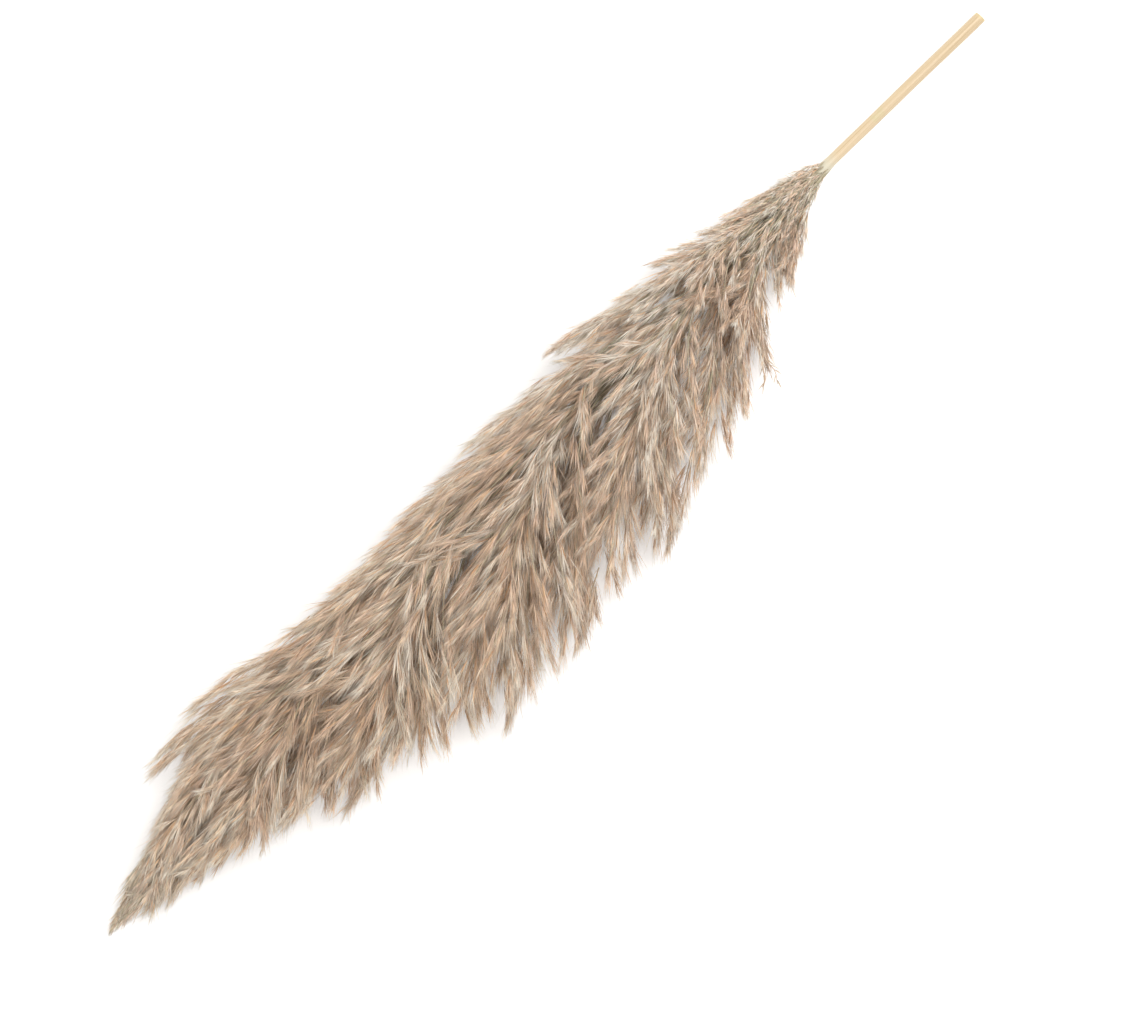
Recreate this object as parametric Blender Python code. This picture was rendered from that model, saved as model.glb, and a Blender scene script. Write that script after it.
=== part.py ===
"""A dried reed, cut below its plume and laid on a table.

Metres, +Z up. The reed lies along X: its cut end is at -X and the tip of its plume at +X, and the
table is z = 0. Distances called "along" run from the cut end towards the tip.
One object is the cane, which is the bare stem and the axis inside the plume. Each branch of the
plume is one more object: a twig that swells into feathery locks, with spikelets fused to them.
"""

import math

import bmesh
import bpy
import numpy as np
from mathutils import Matrix, Vector

REED_LENGTH = 0.420
LOWEST_ROOT = 0.070
AXIS_END = 0.362
SEED = 11

CANE_SIDES = 12
CANE_RADIUS = [(0.0, 0.0020), (0.078, 0.0018), (0.20, 0.0014), (0.30, 0.0010), (0.362, 0.0006)]
FLAT_SPOT = 0.0030
CANE_FIRST_STATIONS = [0.0, FLAT_SPOT, 0.007, 0.028]
CANE_LATER_STATIONS = 18
GROOVE_DEPTH = 0.0005
GROOVE_START, GROOVE_END = 0.004, 0.034
GROOVE_SIDE = 1

# The line of the axis, and the plume's outline where its branches end, as (along, value)
AXIS_ACROSS = [(0.0, 0.0), (0.078, -0.0034), (0.15, -0.0053), (0.23, -0.0068), (0.31, -0.0085),
               (0.362, -0.0095), (0.42, -0.0015)]
AXIS_HEIGHT = [(0.0, 0.00194), (0.078, 0.0099), (0.15, 0.0160), (0.23, 0.0200), (0.30, 0.0200),
               (0.362, 0.0160), (0.42, 0.0070)]
SHORT_SIDE = [(0.070, -0.009), (0.098, -0.014), (0.118, -0.020), (0.15, -0.0235), (0.30, -0.0255),
              (0.35, -0.026), (0.375, -0.0175), (0.40, -0.008), (0.42, -0.002)]
HANGING_SIDE = [(0.070, 0.003), (0.098, 0.009), (0.118, 0.020), (0.145, 0.033), (0.20, 0.041),
                (0.27, 0.043), (0.30, 0.035), (0.34, 0.022), (0.375, 0.010), (0.40, 0.005), (0.42, 0.001)]
CROWN = [(0.070, 0.016), (0.098, 0.023), (0.118, 0.031), (0.15, 0.041), (0.22, 0.046), (0.30, 0.044),
         (0.35, 0.037), (0.385, 0.026), (0.405, 0.015), (0.42, 0.008)]
UNDERSIDE = [(0.070, 0.0034), (0.10, 0.0026), (0.13, 0.0016), (0.35, 0.0016), (0.42, 0.0022)]
FLATTENING = 0.45

BRANCHES = 54
BRANCH_POINTS = 41
GOLDEN_ANGLE = math.radians(137.508)
BRANCH_RUN = [(0.070, 0.046), (0.105, 0.070), (0.15, 0.078), (0.362, 0.056)]
RUN_LOST_ON_HANGING_SIDE = 0.18
SPREAD_POWER = 0.85

# Where the side branchlets leave a branch, and the ways in which each may grow, of which it takes the
# roomiest: the turn from its branch, the share of the branch's run, and the share of the way out
BRANCHLET_FORKS = [0.24, 0.42]
BRANCHLET_TURNS = [math.radians(turn) for turn in (-55, -40, -25, 25, 40, 55)]
BRANCHLET_RUNS = [0.60, 0.75, 0.90]
BRANCHLET_REACHES = [0.70, 1.0]
BRANCHLET_POINTS = 25
BRANCHLET_LEAST_ROOM = 0.0015

LOCK_ROOM_MOST = 0.0072
SEAT_GAP = 0.0003
CLEARANCE = 0.00015
PRESSED_MOST = 0.0016

# A lock's rings lie between these shares of its line, and its core fills these shares of its room
TWIG_RADIUS = 0.00045
LOCK_SIDES = 3
LOCK_START, LOCK_END = 0.20, 0.94
RING_SPACING = 0.0055
CORE_SHARE = [(0.20, 0.10), (0.40, 0.18), (0.60, 0.22), (0.85, 0.17), (0.94, 0.12)]
SPIKELET_LENGTH = 0.0125
SPIKELET_REACH = 0.92
SPIKELET_LEAST_REACH = 0.0015
SPIKELET_LEAST_RISE = 0.0005


def profile(along, stations):
    """A smooth curve through the stations, read at one distance or at an array of them."""
    at, value = np.array(stations).T
    slope = np.gradient(value, at)
    i = np.clip(np.searchsorted(at, along) - 1, 0, len(at) - 2)
    step = at[i + 1] - at[i]
    t = np.clip((along - at[i]) / step, 0.0, 1.0)
    rise = value[i + 1] - value[i]
    return (value[i] + rise * t * t * (3 - 2 * t)
            + step * t * (1 - t) * (slope[i] * (1 - t) - slope[i + 1] * t))


def axis_points(along):
    """Points on the reed's axis, which runs on in the last branches past the cane's end."""
    along = np.atleast_1d(along)
    return np.stack([along, profile(along, AXIS_ACROSS), profile(along, AXIS_HEIGHT)], 1)


def outline_point(along, turn):
    """Points of the plume's outline. Its section is an ellipse between the outline's four sides, which is
    flattened below, where the plume lies on the table."""
    left, right = profile(along, SHORT_SIDE), profile(along, HANGING_SIDE)
    low, high = profile(along, UNDERSIDE), profile(along, CROWN)
    height = math.sin(turn)
    if height < 0:
        height = -(-height)**FLATTENING
    return np.stack([along,
                     (left + right) / 2 + (right - left) / 2 * math.cos(turn),
                     (low + high) / 2 + (high - low) / 2 * height], 1)


def branch_lines(rng):
    """The middle line of each branch, from the axis to the plume's outline."""
    lines = []
    for k in range(BRANCHES):
        turn = k * GOLDEN_ANGLE
        root = LOWEST_ROOT + (k + 0.5) / BRANCHES * (AXIS_END - LOWEST_ROOT)
        run = profile(root, BRANCH_RUN) * (1 - RUN_LOST_ON_HANGING_SIDE * math.cos(turn))
        run = min(run * rng.uniform(0.90, 1.10), REED_LENGTH - root)
        reach = rng.uniform(0.90, 1.06)
        q = np.linspace(0, 1, BRANCH_POINTS)
        along = root + run * q
        spread = (reach * q**SPREAD_POWER)[:, None]
        axis = axis_points(along)
        lines.append(seated(axis + (outline_point(along, turn) - axis) * spread, axis))
    return lines


def branchlet_lines(lines):
    """The lines of each branch's side branchlets, each grown where the lines so far leave most room."""
    grown = [[] for _ in lines]
    for fork in BRANCHLET_FORKS:
        for k, line in enumerate(lines):
            others = np.vstack([fine(other) for j, own in enumerate(grown) for other in (lines[j], *own)
                                if j != k])
            best, best_room = None, BRANCHLET_LEAST_ROOM
            for turn in BRANCHLET_TURNS:
                for run in BRANCHLET_RUNS:
                    for reach in BRANCHLET_REACHES:
                        found = branchlet_line(line, fork, k * GOLDEN_ANGLE + turn, run, reach)
                        near_own = np.vstack([line, *grown[k]])
                        outer = found[BRANCHLET_POINTS // 2:]
                        room = min(nearest(outer, others), nearest(outer, near_own)) / 2
                        if room > best_room:
                            best, best_room = found, room
            if best is not None:
                grown[k].append(best)
    return grown


def branchlet_line(line, fork, turn, run, reach):
    """A line that leaves a branch at a fork and bends away to its own place at the plume's outline."""
    start = fork * (len(line) - 1)
    root = np.array([np.interp(start, np.arange(len(line)), line[:, i]) for i in range(3)])
    along = np.array([root[0] + run * (line[-1, 0] - root[0])])
    axis = axis_points(along)[0]
    end = axis + (outline_point(along, turn)[0] - axis) * reach
    onward = line[int(start) + 2] - line[int(start)]
    bend = root + onward / np.linalg.norm(onward) * np.linalg.norm(end - root) / 3
    q = np.linspace(0, 1, BRANCHLET_POINTS)[:, None]
    return (1 - q)**2 * root + 2 * q * (1 - q) * bend + q**2 * end


def nearest(points, others):
    return np.linalg.norm(points[:, None] - others[None], axis=2).min()


def seated(line, axis):
    """The line without its first stretch, which lies inside the cane, so that it starts at its seat."""
    seat = profile(axis[:, 0], CANE_RADIUS) + SEAT_GAP + TWIG_RADIUS
    out = np.linalg.norm(line - axis, axis=1) - seat
    first = int(np.argmax(out > 0))
    part = out[first - 1] / (out[first - 1] - out[first])
    start = line[first - 1] + part * (line[first] - line[first - 1])
    return resampled(np.vstack([start, line[first:]]))


def resampled(line):
    length = np.concatenate([[0], np.cumsum(np.linalg.norm(np.diff(line, axis=0), axis=1))])
    at = np.linspace(0, length[-1], BRANCH_POINTS)
    return np.stack([np.interp(at, length, line[:, i]) for i in range(3)], 1)


def room_round(lines):
    """How far each lock may reach from its line: half way to the next line, clear of the cane, and only as
    far into the table as it is pressed there."""
    cane = axis_points(np.linspace(0, AXIS_END, 400))
    cane_radius = profile(cane[:, 0], CANE_RADIUS)
    rooms = []
    for k, line in enumerate(lines):
        others = np.vstack([fine(other) for j, other in enumerate(lines) if j != k])
        to_others = np.linalg.norm(line[:, None] - others[None], axis=2).min(1)
        to_cane = (np.linalg.norm(line[:, None] - cane[None], axis=2) - cane_radius).min(1)
        room = np.minimum.reduce([to_others / 2, to_cane - SEAT_GAP / 2, line[:, 2] + PRESSED_MOST,
                                  np.full(len(line), LOCK_ROOM_MOST)])
        rooms.append(room - CLEARANCE)
    return rooms


def fine(line):
    """The line with three more points between each two of its own."""
    at = np.linspace(0, len(line) - 1, 4 * len(line) - 3)
    return np.stack([np.interp(at, np.arange(len(line)), line[:, i]) for i in range(3)], 1)


class Strand:
    """A line with a frame that turns with it but doesn't twist, read by the share of its length."""

    def __init__(self, points):
        self.points = points
        self.share = np.linspace(0, 1, len(points))
        ahead = np.gradient(points, axis=0)
        self.ahead = ahead / np.linalg.norm(ahead, axis=1)[:, None]
        side = np.cross(self.ahead[0], (0.0, 0.0, 1.0))
        sides = []
        for direction in self.ahead:
            side = side - direction * (side @ direction)
            side = side / np.linalg.norm(side)
            sides.append(side)
        self.side = np.array(sides)
        self.up = np.cross(self.side, self.ahead)

    def read(self, table, share):
        return np.array([np.interp(share, self.share, table[:, i]) for i in range(3)])

    def at(self, share):
        return self.read(self.points, share)

    def outward(self, share, turn):
        return (self.read(self.side, share) * math.cos(turn) + self.read(self.up, share) * math.sin(turn))


def lofted(rings):
    """A closed mesh through the rings of points, capped at both ends."""
    shape = bmesh.new()
    loops = [[shape.verts.new(point) for point in ring] for ring in rings]
    for one, two in zip(loops, loops[1:]):
        for i in range(len(one)):
            j = (i + 1) % len(one)
            shape.faces.new((one[i], one[j], two[j], two[i]))
    shape.faces.new(reversed(loops[0]))
    shape.faces.new(loops[-1])
    bmesh.ops.recalc_face_normals(shape, faces=shape.faces)
    mesh = bpy.data.meshes.new("loft")
    shape.to_mesh(mesh)
    shape.free()
    return mesh


def lock(line, room, rng):
    """The mesh of a twig and the lock that it swells into. The lock's core is rings of points, each turned
    half a side from the last and drawn together at the tip, and a spikelet is raised on every triangle of
    it that points forward."""
    strand = Strand(line)
    whole = np.linalg.norm(np.diff(line, axis=0), axis=1).sum()
    step = 2 * math.pi / LOCK_SIDES
    start = rng.uniform(0, 2 * math.pi)
    ring_count = round(whole * (LOCK_END - LOCK_START) / RING_SPACING) + 1
    shares = [0.0, *np.linspace(LOCK_START, LOCK_END, ring_count)]
    radii = [TWIG_RADIUS]
    for share in shares[1:]:
        radii.append(max(profile(share, CORE_SHARE) * np.interp(share, strand.share, room), TWIG_RADIUS))
    shape = bmesh.new()
    rings = []
    for i, (share, radius) in enumerate(zip(shares, radii)):
        turns = [start + step * (j + 0.5 * (i % 2)) for j in range(LOCK_SIDES)]
        rings.append([shape.verts.new(strand.at(share) + radius * strand.outward(share, t)) for t in turns])
    for i, (one, two) in enumerate(zip(rings, rings[1:])):
        for j in range(LOCK_SIDES):
            after = one[(j + 1) % LOCK_SIDES]
            ahead = (j + i % 2) % LOCK_SIDES
            shape.faces.new((two[ahead], after, two[(ahead + 1) % LOCK_SIDES]))
            turn = start + step * (j + 0.5 + 0.5 * (i % 2))
            length = SPIKELET_LENGTH * rng.uniform(0.85, 1.10) / whole
            end, reach = spikelet_reach(strand, room, shares[i], radii[i], length, rng)
            spikelet_tip = Vector(strand.at(end) + reach * strand.outward(end, turn))
            base = shape.faces.new((one[j], two[ahead], after))
            base.normal_update()
            rise = base.normal.dot(spikelet_tip - two[ahead].co)
            if i == 0 or reach < SPIKELET_LEAST_REACH or rise < SPIKELET_LEAST_RISE:
                continue
            shape.faces.remove(base)
            point = shape.verts.new(spikelet_tip)
            shape.faces.new((one[j], after, point))
            shape.faces.new((after, two[ahead], point))
            shape.faces.new((two[ahead], one[j], point))
    tip = shape.verts.new(strand.at(1.0))
    last = rings[-1]
    for j in range(LOCK_SIDES):
        shape.faces.new((last[j], last[(j + 1) % LOCK_SIDES], tip))
    shape.faces.new(reversed(rings[0]))
    for vertex in shape.verts:
        vertex.co.z = max(vertex.co.z, 0.0)
    bmesh.ops.recalc_face_normals(shape, faces=shape.faces)
    mesh = bpy.data.meshes.new("lock")
    shape.to_mesh(mesh)
    shape.free()
    return mesh


def spikelet_reach(strand, room, share, radius, length, rng):
    """Where along its lock a spikelet ends, and how far out, so that all of it stays in the room and
    those at the tip lean alike."""
    end = min(share + length, 1.0)
    between = np.linspace(share, end, 6)[1:]
    most = radius + (np.interp(between, strand.share, room) - radius) * (end - share) / (between - share)
    reach = SPIKELET_REACH * rng.uniform(0.65, 1.0) * min(most)
    return end, radius + (reach - radius) * (end - share) / length


def joined(name, locks):
    """One object whose mesh is the union of a branch's locks."""
    whole = bpy.data.objects.new(name, locks[0])
    bpy.context.scene.collection.objects.link(whole)
    if len(locks) == 1:
        return whole
    group = bpy.data.collections.new(name + "_branchlets")
    bpy.context.scene.collection.children.link(group)
    for mesh in locks[1:]:
        group.objects.link(bpy.data.objects.new("branchlet", mesh))
    union = whole.modifiers.new("union", "BOOLEAN")
    union.operation = "UNION"
    union.operand_type = "COLLECTION"
    union.collection = group
    union.solver = "MANIFOLD"
    graph = bpy.context.evaluated_depsgraph_get()
    solid = bpy.data.meshes.new_from_object(whole.evaluated_get(graph))
    whole.modifiers.clear()
    keep_outer_surface(solid)
    whole.data = solid
    solid.name = name
    for piece in list(group.objects):
        bpy.data.objects.remove(piece)
    bpy.data.collections.remove(group)
    return whole


def keep_outer_surface(mesh):
    """Keeps the mesh's largest surface, so that a hollow sealed by the union is filled and a loose scrap
    is dropped."""
    shape = bmesh.new()
    shape.from_mesh(mesh)
    left, surfaces = set(shape.verts), []
    while left:
        found = [left.pop()]
        for vertex in found:
            near = {edge.other_vert(vertex) for edge in vertex.link_edges} & left
            left -= near
            found.extend(near)
        surfaces.append(found)
    largest = max(surfaces, key=len)
    spare = [vertex for surface in surfaces if surface is not largest for vertex in surface]
    bmesh.ops.delete(shape, geom=spare, context="VERTS")
    shape.to_mesh(mesh)
    shape.free()


def cane():
    """The bare stem and the axis in the plume, in one piece, with the cleft that the stem dried with."""
    along = np.concatenate([CANE_FIRST_STATIONS, np.linspace(GROOVE_END, AXIS_END, CANE_LATER_STATIONS)])
    middle = axis_points(along)
    rings = []
    for i, (distance, centre) in enumerate(zip(along, middle)):
        radius = profile(distance, CANE_RADIUS)
        ring = []
        for side in range(CANE_SIDES):
            turn = 2 * math.pi * (side + 0.5) / CANE_SIDES - math.pi / 2
            grooved = side == GROOVE_SIDE and GROOVE_START < distance < GROOVE_END
            reach = radius - (GROOVE_DEPTH if grooved else 0.0)
            point = centre + np.array([0.0, math.cos(turn), math.sin(turn)]) * reach
            if i < 2 and side in (CANE_SIDES - 1, 0):
                point[2] = 0.0
            ring.append(point)
        rings.append(ring)
    mesh = lofted(rings)
    mesh.name = "cane"
    whole = bpy.data.objects.new("cane", mesh)
    bpy.context.scene.collection.objects.link(whole)
    return whole


def finish(name, colour, roughness):
    material = bpy.data.materials.new(name)
    material.use_nodes = True
    shader = material.node_tree.nodes["Principled BSDF"]
    shader.inputs["Base Color"].default_value = (*colour, 1)
    shader.inputs["Roughness"].default_value = roughness
    shader.inputs["Metallic"].default_value = 0.0
    return material


def place(whole, origin, material, reed):
    """Gives the object its origin, its finish and its parent."""
    whole.data.transform(Matrix.Translation(-Vector(origin)))
    whole.location = origin
    whole.parent = reed
    whole.data.materials.clear()
    whole.data.materials.append(material)


def main():
    for old in list(bpy.data.objects):
        bpy.data.objects.remove(old)
    straw = finish("straw", (0.72, 0.55, 0.36), 0.45)
    plume = finish("plume", (0.50, 0.42, 0.35), 0.80)
    rng = np.random.default_rng(SEED)
    lines = branch_lines(rng)
    branches = [[line, *own] for line, own in zip(lines, branchlet_lines(lines))]
    rooms = iter(room_round([line for branch in branches for line in branch]))
    made = [(cane(), (0.0, 0.0, 0.0), straw)]
    for k, branch in enumerate(branches):
        locks = [lock(line, next(rooms), rng) for line in branch]
        made.append((joined(f"branch_{k + 1:02d}", locks), branch[0][0], plume))
    corners = np.array([v.co for whole, _, _ in made for v in whole.data.vertices])
    centre = (corners.min(0) + corners.max(0)) / 2
    reed = bpy.data.objects.new("reed", None)
    bpy.context.scene.collection.objects.link(reed)
    reed.location = (-centre[0], -centre[1], 0.0)
    for whole, origin, material in made:
        place(whole, origin, material, reed)


main()
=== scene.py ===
import math

import bpy
import numpy as np
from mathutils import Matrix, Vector, kdtree


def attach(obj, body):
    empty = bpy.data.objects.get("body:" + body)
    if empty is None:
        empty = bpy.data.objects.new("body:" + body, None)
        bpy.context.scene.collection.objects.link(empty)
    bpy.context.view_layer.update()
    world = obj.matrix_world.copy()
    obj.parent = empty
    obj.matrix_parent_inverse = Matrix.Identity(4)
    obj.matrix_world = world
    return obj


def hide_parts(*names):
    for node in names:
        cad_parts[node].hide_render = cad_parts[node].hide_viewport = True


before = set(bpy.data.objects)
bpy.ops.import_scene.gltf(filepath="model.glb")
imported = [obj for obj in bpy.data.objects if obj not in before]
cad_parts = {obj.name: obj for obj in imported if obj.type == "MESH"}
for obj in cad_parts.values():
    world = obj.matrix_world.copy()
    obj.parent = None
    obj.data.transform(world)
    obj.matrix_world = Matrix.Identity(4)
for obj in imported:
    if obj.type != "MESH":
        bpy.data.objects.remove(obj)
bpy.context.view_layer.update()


# The table and the light
# A wide pale table top, lit evenly by a bright room and softly from above, so that the reed casts only
# a faint shadow, as a thing photographed on white does.

table_colour = (0.90, 0.90, 0.90)
table_glow = 0.20
table_size = 6.0
table_drop = 0.0002
room_colour = (1.0, 0.99, 0.98)
room_strength = 0.76


class Value:
    """A socket of a material, on which sums and products read as plain Python."""

    def __init__(self, paint, socket):
        self.paint = paint
        self.socket = socket

    def math(self, operation, *others):
        values = dict(enumerate((self, *others)))
        return self.paint.node("ShaderNodeMath", {"operation": operation}, values)

    def __add__(self, other):
        return self.math("ADD", other)

    def __mul__(self, other):
        return self.math("MULTIPLY", other)

    def __sub__(self, other):
        return self.math("SUBTRACT", other)

    def __rsub__(self, other):
        return self.paint.node("ShaderNodeMath", {"operation": "SUBTRACT"}, {0: other, 1: self})

    __radd__ = __add__
    __rmul__ = __mul__

    def between(self, low, high):
        """0 below the low value, 1 above the high one and a smooth rise from one to the other."""
        return self.paint.node("ShaderNodeMapRange", {"interpolation_type": "SMOOTHSTEP"},
                               {"Value": self, "From Min": low, "From Max": high})


class Paint:
    """A material, and the one way in which its nodes are added."""

    def __init__(self, name):
        self.material = bpy.data.materials.new(name)
        self.material.use_nodes = True
        self.tree = self.material.node_tree
        self.shader = self.tree.nodes["Principled BSDF"]

    def node(self, kind, settings=None, values=None, output=0):
        made = self.tree.nodes.new(kind)
        for name, setting in (settings or {}).items():
            if name == "stops":
                for i, (place, colour) in enumerate(setting):
                    stop = made.color_ramp.elements[i] if i < 2 else made.color_ramp.elements.new(place)
                    stop.position = place
                    stop.color = (*colour, 1.0)
            else:
                setattr(made, name, setting)
        for name, value in (values or {}).items():
            self.feed(made.inputs[name], value)
        return Value(self, made.outputs[output])

    def feed(self, socket, value):
        if isinstance(value, Value):
            self.tree.links.new(value.socket, socket)
        elif isinstance(value, tuple) and len(value) == 3 and socket.type == "RGBA":
            socket.default_value = (*value, 1.0)
        else:
            socket.default_value = value

    def mix(self, share, one, two, blend="MIX"):
        """The colour that lies this share of the way from one colour to the other."""
        return self.node("ShaderNodeMix", {"data_type": "RGBA", "blend_type": blend},
                         {0: share, 6: one, 7: two}, output=2)

    def noise(self, vector, scale, detail=3.0, roughness=0.5):
        return self.node("ShaderNodeTexNoise", None,
                         {"Vector": vector, "Scale": scale, "Detail": detail, "Roughness": roughness})

    def finish(self, **values):
        """Feeds the shader's own sockets, named with _ for a space."""
        for name, value in values.items():
            self.feed(self.shader.inputs[name.replace("_", " ")], value)
        return self.material


def select_nothing():
    """Leaves object mode with nothing selected, so that the next operator acts on what it adds."""
    if bpy.context.object and bpy.context.object.mode != "OBJECT":
        bpy.ops.object.mode_set(mode="OBJECT")
    bpy.ops.object.select_all(action="DESELECT")


select_nothing()
bpy.ops.mesh.primitive_plane_add(size=table_size, location=(0.0, 0.0, -table_drop))
table_top = bpy.context.object
table_top.name = "table_top"
table_paint = Paint("table_top")
table_grain = table_paint.noise(table_paint.node("ShaderNodeTexCoord", output=3), 9.0)
table_top.data.materials.append(table_paint.finish(
    Base_Color=table_colour, Roughness=0.86 + 0.08 * table_grain, Specular_IOR_Level=0.2,
    Emission_Color=table_colour, Emission_Strength=table_glow))

room = bpy.data.worlds.new("room")
room.use_nodes = True
room.node_tree.nodes["Background"].inputs["Color"].default_value = (*room_colour, 1.0)
room.node_tree.nodes["Background"].inputs["Strength"].default_value = room_strength
bpy.context.scene.world = room


def soft_light(name, place, size, watts, colour):
    """A square area light that points at the middle of the reed."""
    select_nothing()
    bpy.ops.object.light_add(type="AREA", location=place)
    light = bpy.context.object
    light.name = name
    light.data.size = size
    light.data.energy = watts
    light.data.color = colour
    light.rotation_euler = (-Vector(place)).to_track_quat("-Z", "Y").to_euler()


soft_light("overhead_light", (-0.70, 0.15, 1.60), 1.1, 21.0, (1.0, 0.98, 0.96))
soft_light("side_light", (0.9, -1.3, 0.9), 0.8, 7.5, (0.98, 0.99, 1.0))
bpy.context.scene.view_settings.view_transform = "Standard"


# The camera
# It looks straight down on the lying reed, turned so that the cut end is at the picture's upper right
# and the tip at its lower left.

view_width = 0.3707
lens = 100.0
sensor = 36.0
looked_at = Vector((0.0058, 0.0050, 0.020))
picture_turn = math.radians(133.29)

select_nothing()
bpy.ops.object.camera_add(location=looked_at + Vector((0.0, 0.0, view_width * lens / sensor)),
                          rotation=(0.0, 0.0, picture_turn))
camera = bpy.context.object
camera.data.lens = lens
camera.data.sensor_width = sensor
bpy.context.scene.camera = camera


# The cane
# The bare round stem and, inside the plume, the axis that its branches grow from: one hollow grass stem,
# dried pale straw. It was cut across, split a little as it dried and keeps a pale ring at the plume's base.
# Inside the plume it is painted dark, as painted shade under the hairs.

reed_length = 0.420
axis_end = 0.362
cane_radius = [(0.0, 0.0020), (0.078, 0.0018), (0.20, 0.0014), (0.30, 0.0010), (0.362, 0.0006)]
axis_across = [(0.0, 0.0), (0.078, -0.0034), (0.15, -0.0053), (0.23, -0.0068), (0.31, -0.0085),
               (0.362, -0.0095), (0.42, -0.0015)]
axis_height = [(0.0, 0.00194), (0.078, 0.0099), (0.15, 0.0160), (0.23, 0.0200), (0.30, 0.0200),
               (0.362, 0.0160), (0.42, 0.0070)]
cane_sides = 28
cane_rings = 150
pith_share = 0.62
pith_depth = 0.0006
cleft_turn = math.radians(-48)
cleft_width = math.radians(17)
cleft_depth = 0.0006
cleft_end = 0.034
skin_waves = [(0.00003, 3, 160), (0.00002, 7, -90)]
ring_place = 0.0725
ring_swell = 0.00022
ring_width = 0.0014

cane_points = np.array([v.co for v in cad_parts["cane"].data.vertices])
cut_end = cane_points[:, 0].min()
first_ring = cane_points[cane_points[:, 0] < cut_end + 0.0001]
reed_shift = np.array([cut_end, (first_ring[:, 1].min() + first_ring[:, 1].max()) / 2, 0.0])


def profile(along, stations):
    """A smooth curve through the stations, read at one distance or at an array of them."""
    at, value = np.array(stations).T
    slope = np.gradient(value, at)
    i = np.clip(np.searchsorted(at, along) - 1, 0, len(at) - 2)
    step = at[i + 1] - at[i]
    t = np.clip((along - at[i]) / step, 0.0, 1.0)
    rise = value[i + 1] - value[i]
    return (value[i] + rise * t * t * (3 - 2 * t)
            + step * t * (1 - t) * (slope[i] * (1 - t) - slope[i + 1] * t))


def axis_points(along):
    """Points on the reed's axis, which runs on in the last branches past the cane's end."""
    along = np.atleast_1d(along)
    return np.stack([along, profile(along, axis_across), profile(along, axis_height)], 1)


def give_map(mesh, places):
    """Gives the mesh its own map, with a place for each corner of each face."""
    layer = mesh.uv_layers.new(name="OFBake")
    layer.data.foreach_set("uv", np.asarray(places, np.float32).ravel())


def new_piece(piece, slot, *nodes):
    """Hangs a finished piece on the reed's only body, in place of these nodes."""
    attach(piece, "root")
    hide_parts(*nodes)


cane_along = np.concatenate([np.linspace(0.0, 0.09, cane_rings // 2),
                             np.linspace(0.09, axis_end, cane_rings // 2 + 1)[1:]])
cane_middle = axis_points(cane_along) + reed_shift
ring_shape = np.exp(-((cane_along - ring_place) / ring_width)**2)
cane_reach = profile(cane_along, cane_radius) + ring_swell * ring_shape

select_nothing()
bpy.ops.mesh.primitive_circle_add(vertices=cane_sides, radius=cane_reach[0], fill_type="NGON",
                                  location=cane_middle[0], rotation=(0.0, math.pi / 2, 0.0))
cane = bpy.context.object
cane.name = "reed_cane"
bpy.ops.object.transform_apply()
bpy.ops.object.mode_set(mode="EDIT")
bpy.ops.mesh.select_all(action="SELECT")
for i in range(1, len(cane_along)):
    move = cane_middle[i] - cane_middle[i - 1]
    bpy.ops.mesh.extrude_region_move(TRANSFORM_OT_translate={"value": move})
    bpy.ops.transform.resize(value=(cane_reach[i] / cane_reach[i - 1],) * 3,
                             center_override=cane_middle[i])
bpy.ops.object.mode_set(mode="OBJECT")


def select_end(mesh):
    """Selects the cane's cut end alone."""
    lowest = min(v.co.x for v in mesh.vertices)
    for face in mesh.polygons:
        face.select = all(mesh.vertices[i].co.x < lowest + 0.00001 for i in face.vertices)
    for edge in mesh.edges:
        edge.select = all(mesh.vertices[i].co.x < lowest + 0.00001 for i in edge.vertices)
    for vertex in mesh.vertices:
        vertex.select = vertex.co.x < lowest + 0.00001


select_end(cane.data)
bpy.ops.object.mode_set(mode="EDIT")
bpy.ops.mesh.select_mode(type="FACE")
bpy.ops.mesh.inset(thickness=cane_reach[0] * (1 - pith_share))
bpy.ops.transform.translate(value=(pith_depth * 0.25, 0.0, 0.0))
bpy.ops.mesh.inset(thickness=cane_reach[0] * 0.08)
bpy.ops.transform.translate(value=(pith_depth, 0.0, 0.0))
bpy.ops.mesh.select_all(action="SELECT")
bpy.ops.mesh.normals_make_consistent(inside=False)
bpy.ops.object.mode_set(mode="OBJECT")
for vertex in cane.data.vertices:
    distance = vertex.co.x - reed_shift[0]
    middle = axis_points(distance)[0] + reed_shift
    out = vertex.co - Vector(middle)
    turn = math.atan2(out.z, out.y)
    off = (turn - cleft_turn) / cleft_width
    depth = cleft_depth * math.exp(-off * off) * max(0.0, 1 - (distance / cleft_end)**2)
    reach = profile(distance, cane_radius)
    wave = sum(height * math.sin(waves * turn + distance * twist) for height, waves, twist in skin_waves)
    vertex.co -= out * (depth - wave) / reach
    vertex.co.z = max(vertex.co.z, 0.0)
bpy.ops.object.shade_smooth_by_angle(angle=math.radians(50))

# The sides lie on the map as a strip along the stem, and both ends as small discs above it
strip_start, strip_width, strip_length = 0.02, 0.4, 0.92
disc_scale, disc_height = 9, 0.97
cut_disc, far_disc = 0.03, 0.08

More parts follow.
